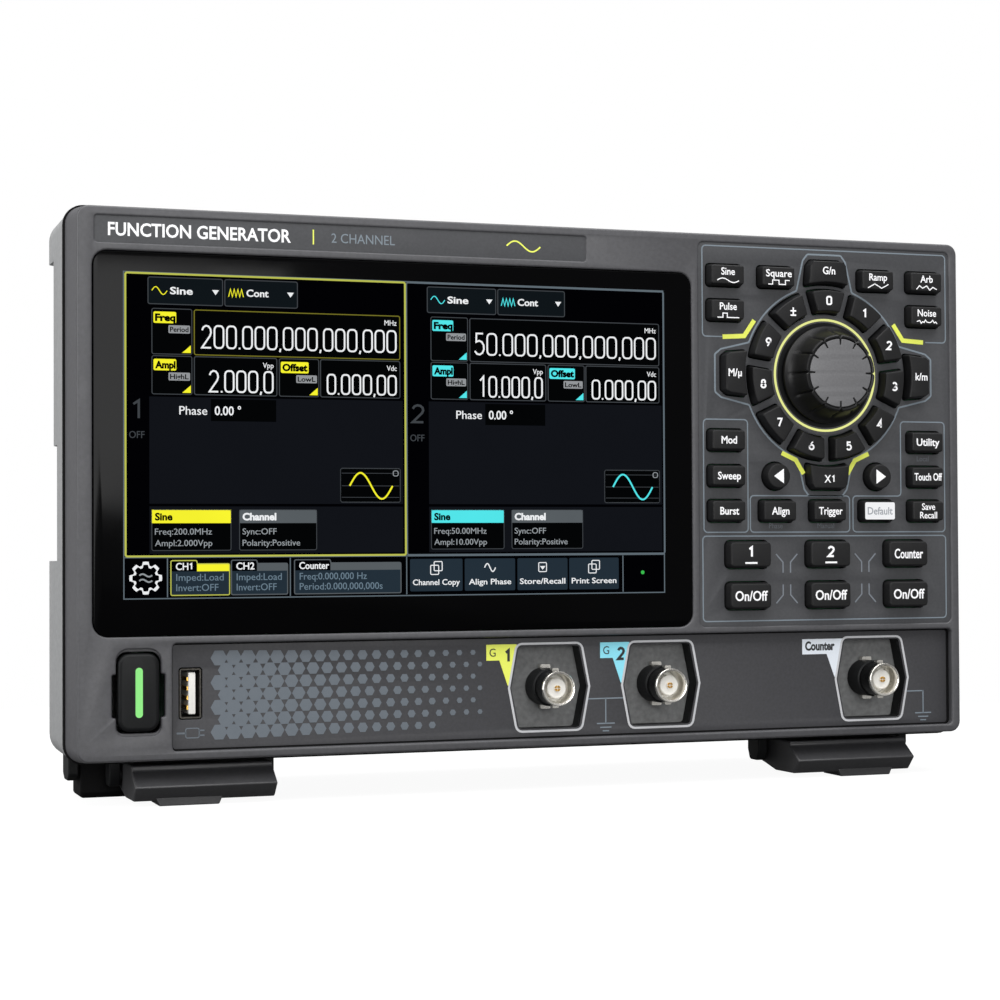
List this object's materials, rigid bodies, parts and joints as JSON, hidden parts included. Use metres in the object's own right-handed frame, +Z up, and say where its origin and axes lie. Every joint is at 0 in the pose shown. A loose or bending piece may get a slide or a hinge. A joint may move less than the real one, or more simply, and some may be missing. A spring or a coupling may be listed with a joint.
{
  "type": "function generator",
  "caption": "Benchtop two-channel waveform generator with a touch display, rotary knob in a ring of number keys, BNC jacks, flip-out feet and a rear fan.",
  "frame": {"origin": "bottom centre of the bounding box, on the bench", "axes": "+X to the right seen from the front, +Y from the screen to the back, +Z up"},
  "size_m": [0.2654, 0.0776, 0.158],
  "materials": {
    "bezel_plastic": "fine satin grain, dark grey",
    "cover_plastic": "fine matt grain, light grey",
    "panel_plastic": "matt printed sheet, dark grey",
    "key_rubber": "satin silicone, near black",
    "black_plastic": "satin black",
    "screen_glass": "polished cover glass over the display",
    "circuit_board": "green solder mask",
    "nickel": "bright nickel plate",
    "zinc_steel": "zinc plated sheet",
    "foot_rubber": "matt black rubber"
  },
  "bodies": {
    "case": {"front_bezel": "bezel_plastic", "rear_cover": "cover_plastic", "connector_panel": "panel_plastic", "display_glass": "screen_glass", "lcd_module": "black_plastic", "key_board": "circuit_board", "main_board": "circuit_board", "bnc_channel_1": "nickel", "bnc_channel_2": "nickel", "bnc_counter": "nickel", "usb_host_socket": "zinc_steel", "encoder_body": "zinc_steel", "rear_foot_left": "foot_rubber", "rear_foot_right": "foot_rubber", "fan_frame": "black_plastic", "rear_io_bracket": "zinc_steel"},
    "encoder_shaft": {"encoder_shaft": "nickel"},
    "knob": {"knob": "black_plastic"},
    "power_button": {"power_button": "black_plastic"},
    "front_foot_left": {"front_foot_left": "black_plastic"},
    "front_foot_right": {"front_foot_right": "black_plastic"},
    "fan_impeller": {"fan_impeller": "black_plastic"},
    "key_sine": {"key_sine": "key_rubber"},
    "key_square": {"key_square": "key_rubber"},
    "key_ramp": {"key_ramp": "key_rubber"},
    "key_arb": {"key_arb": "key_rubber"},
    "key_pulse": {"key_pulse": "key_rubber"},
    "key_noise": {"key_noise": "key_rubber"},
    "key_mod": {"key_mod": "key_rubber"},
    "key_utility": {"key_utility": "key_rubber"},
    "key_sweep": {"key_sweep": "key_rubber"},
    "key_touch_off": {"key_touch_off": "key_rubber"},
    "key_burst": {"key_burst": "key_rubber"},
    "key_align": {"key_align": "key_rubber"},
    "key_trigger": {"key_trigger": "key_rubber"},
    "key_default": {"key_default": "key_rubber"},
    "key_recall": {"key_recall": "key_rubber"},
    "key_channel_1": {"key_channel_1": "key_rubber"},
    "key_channel_2": {"key_channel_2": "key_rubber"},
    "key_counter": {"key_counter": "key_rubber"},
    "key_output_1": {"key_output_1": "key_rubber"},
    "key_output_2": {"key_output_2": "key_rubber"},
    "key_counter_on": {"key_counter_on": "key_rubber"},
    "key_0": {"key_0": "key_rubber"},
    "key_1": {"key_1": "key_rubber"},
    "key_2": {"key_2": "key_rubber"},
    "key_3": {"key_3": "key_rubber"},
    "key_4": {"key_4": "key_rubber"},
    "key_5": {"key_5": "key_rubber"},
    "key_6": {"key_6": "key_rubber"},
    "key_7": {"key_7": "key_rubber"},
    "key_8": {"key_8": "key_rubber"},
    "key_9": {"key_9": "key_rubber"},
    "key_sign": {"key_sign": "key_rubber"},
    "key_giga": {"key_giga": "key_rubber"},
    "key_mega": {"key_mega": "key_rubber"},
    "key_kilo": {"key_kilo": "key_rubber"},
    "key_unit": {"key_unit": "key_rubber"},
    "key_left": {"key_left": "key_rubber"},
    "key_right": {"key_right": "key_rubber"}
  },
  "joints": [
    {"name": "power_press", "type": "slide", "parent": "case", "child": "power_button", "axis": [0, 1, 0], "range_m": [0, 0.001], "stiffness_N_per_m": 800},
    {"name": "encoder_push", "type": "slide", "parent": "case", "child": "encoder_shaft", "axis": [0, 1, 0], "range_m": [0, 0.0005], "stiffness_N_per_m": 4000},
    {"name": "knob_turn", "type": "hinge", "parent": "encoder_shaft", "child": "knob", "pos_m": [0.08613, -0.03429, 0.11696], "axis": [0, 1, 0], "continuous": true},
    {"name": "front_foot_left_flip", "type": "hinge", "parent": "case", "child": "front_foot_left", "pos_m": [-0.096, -0.00579, 0.0068], "axis": [1, 0, 0], "range_deg": [0, 80]},
    {"name": "front_foot_right_flip", "type": "hinge", "parent": "case", "child": "front_foot_right", "pos_m": [0.096, -0.00579, 0.0068], "axis": [1, 0, 0], "range_deg": [0, 80]},
    {"name": "fan_spin", "type": "hinge", "parent": "case", "child": "fan_impeller", "pos_m": [-0.058, 0.02872, 0.0983], "axis": [0, 1, 0], "continuous": true},
    {"name": "key_sine_press", "type": "slide", "parent": "case", "child": "key_sine", "axis": [0, 1, 0], "range_m": [0, 0.0009], "stiffness_N_per_m": 600},
    {"name": "key_square_press", "type": "slide", "parent": "case", "child": "key_square", "axis": [0, 1, 0], "range_m": [0, 0.0009], "stiffness_N_per_m": 600},
    {"name": "key_ramp_press", "type": "slide", "parent": "case", "child": "key_ramp", "axis": [0, 1, 0], "range_m": [0, 0.0009], "stiffness_N_per_m": 600},
    {"name": "key_arb_press", "type": "slide", "parent": "case", "child": "key_arb", "axis": [0, 1, 0], "range_m": [0, 0.0009], "stiffness_N_per_m": 600},
    {"name": "key_pulse_press", "type": "slide", "parent": "case", "child": "key_pulse", "axis": [0, 1, 0], "range_m": [0, 0.0009], "stiffness_N_per_m": 600},
    {"name": "key_noise_press", "type": "slide", "parent": "case", "child": "key_noise", "axis": [0, 1, 0], "range_m": [0, 0.0009], "stiffness_N_per_m": 600},
    {"name": "key_mod_press", "type": "slide", "parent": "case", "child": "key_mod", "axis": [0, 1, 0], "range_m": [0, 0.0009], "stiffness_N_per_m": 600},
    {"name": "key_utility_press", "type": "slide", "parent": "case", "child": "key_utility", "axis": [0, 1, 0], "range_m": [0, 0.0009], "stiffness_N_per_m": 600},
    {"name": "key_sweep_press", "type": "slide", "parent": "case", "child": "key_sweep", "axis": [0, 1, 0], "range_m": [0, 0.0009], "stiffness_N_per_m": 600},
    {"name": "key_touch_off_press", "type": "slide", "parent": "case", "child": "key_touch_off", "axis": [0, 1, 0], "range_m": [0, 0.0009], "stiffness_N_per_m": 600},
    {"name": "key_burst_press", "type": "slide", "parent": "case", "child": "key_burst", "axis": [0, 1, 0], "range_m": [0, 0.0009], "stiffness_N_per_m": 600},
    {"name": "key_align_press", "type": "slide", "parent": "case", "child": "key_align", "axis": [0, 1, 0], "range_m": [0, 0.0009], "stiffness_N_per_m": 600},
    {"name": "key_trigger_press", "type": "slide", "parent": "case", "child": "key_trigger", "axis": [0, 1, 0], "range_m": [0, 0.0009], "stiffness_N_per_m": 600},
    {"name": "key_default_press", "type": "slide", "parent": "case", "child": "key_default", "axis": [0, 1, 0], "range_m": [0, 0.0009], "stiffness_N_per_m": 600},
    {"name": "key_recall_press", "type": "slide", "parent": "case", "child": "key_recall", "axis": [0, 1, 0], "range_m": [0, 0.0009], "stiffness_N_per_m": 600},
    {"name": "key_channel_1_press", "type": "slide", "parent": "case", "child": "key_channel_1", "axis": [0, 1, 0], "range_m": [0, 0.0009], "stiffness_N_per_m": 600},
    {"name": "key_channel_2_press", "type": "slide", "parent": "case", "child": "key_channel_2", "axis": [0, 1, 0], "range_m": [0, 0.0009], "stiffness_N_per_m": 600},
    {"name": "key_counter_press", "type": "slide", "parent": "case", "child": "key_counter", "axis": [0, 1, 0], "range_m": [0, 0.0009], "stiffness_N_per_m": 600},
    {"name": "key_output_1_press", "type": "slide", "parent": "case", "child": "key_output_1", "axis": [0, 1, 0], "range_m": [0, 0.0009], "stiffness_N_per_m": 600},
    {"name": "key_output_2_press", "type": "slide", "parent": "case", "child": "key_output_2", "axis": [0, 1, 0], "range_m": [0, 0.0009], "stiffness_N_per_m": 600},
    {"name": "key_counter_on_press", "type": "slide", "parent": "case", "child": "key_counter_on", "axis": [0, 1, 0], "range_m": [0, 0.0009], "stiffness_N_per_m": 600},
    {"name": "key_0_press", "type": "slide", "parent": "case", "child": "key_0", "axis": [0, 1, 0], "range_m": [0, 0.0009], "stiffness_N_per_m": 600},
    {"name": "key_1_press", "type": "slide", "parent": "case", "child": "key_1", "axis": [0, 1, 0], "range_m": [0, 0.0009], "stiffness_N_per_m": 600},
    {"name": "key_2_press", "type": "slide", "parent": "case", "child": "key_2", "axis": [0, 1, 0], "range_m": [0, 0.0009], "stiffness_N_per_m": 600},
    {"name": "key_3_press", "type": "slide", "parent": "case", "child": "key_3", "axis": [0, 1, 0], "range_m": [0, 0.0009], "stiffness_N_per_m": 600},
    {"name": "key_4_press", "type": "slide", "parent": "case", "child": "key_4", "axis": [0, 1, 0], "range_m": [0, 0.0009], "stiffness_N_per_m": 600},
    {"name": "key_5_press", "type": "slide", "parent": "case", "child": "key_5", "axis": [0, 1, 0], "range_m": [0, 0.0009], "stiffness_N_per_m": 600},
    {"name": "key_6_press", "type": "slide", "parent": "case", "child": "key_6", "axis": [0, 1, 0], "range_m": [0, 0.0009], "stiffness_N_per_m": 600},
    {"name": "key_7_press", "type": "slide", "parent": "case", "child": "key_7", "axis": [0, 1, 0], "range_m": [0, 0.0009], "stiffness_N_per_m": 600},
    {"name": "key_8_press", "type": "slide", "parent": "case", "child": "key_8", "axis": [0, 1, 0], "range_m": [0, 0.0009], "stiffness_N_per_m": 600},
    {"name": "key_9_press", "type": "slide", "parent": "case", "child": "key_9", "axis": [0, 1, 0], "range_m": [0, 0.0009], "stiffness_N_per_m": 600},
    {"name": "key_sign_press", "type": "slide", "parent": "case", "child": "key_sign", "axis": [0, 1, 0], "range_m": [0, 0.0009], "stiffness_N_per_m": 600},
    {"name": "key_giga_press", "type": "slide", "parent": "case", "child": "key_giga", "axis": [0, 1, 0], "range_m": [0, 0.0009], "stiffness_N_per_m": 600},
    {"name": "key_mega_press", "type": "slide", "parent": "case", "child": "key_mega", "axis": [0, 1, 0], "range_m": [0, 0.0009], "stiffness_N_per_m": 600},
    {"name": "key_kilo_press", "type": "slide", "parent": "case", "child": "key_kilo", "axis": [0, 1, 0], "range_m": [0, 0.0009], "stiffness_N_per_m": 600},
    {"name": "key_unit_press", "type": "slide", "parent": "case", "child": "key_unit", "axis": [0, 1, 0], "range_m": [0, 0.0009], "stiffness_N_per_m": 600},
    {"name": "key_left_press", "type": "slide", "parent": "case", "child": "key_left", "axis": [0, 1, 0], "range_m": [0, 0.0009], "stiffness_N_per_m": 600},
    {"name": "key_right_press", "type": "slide", "parent": "case", "child": "key_right", "axis": [0, 1, 0], "range_m": [0, 0.0009], "stiffness_N_per_m": 600}
  ]
}
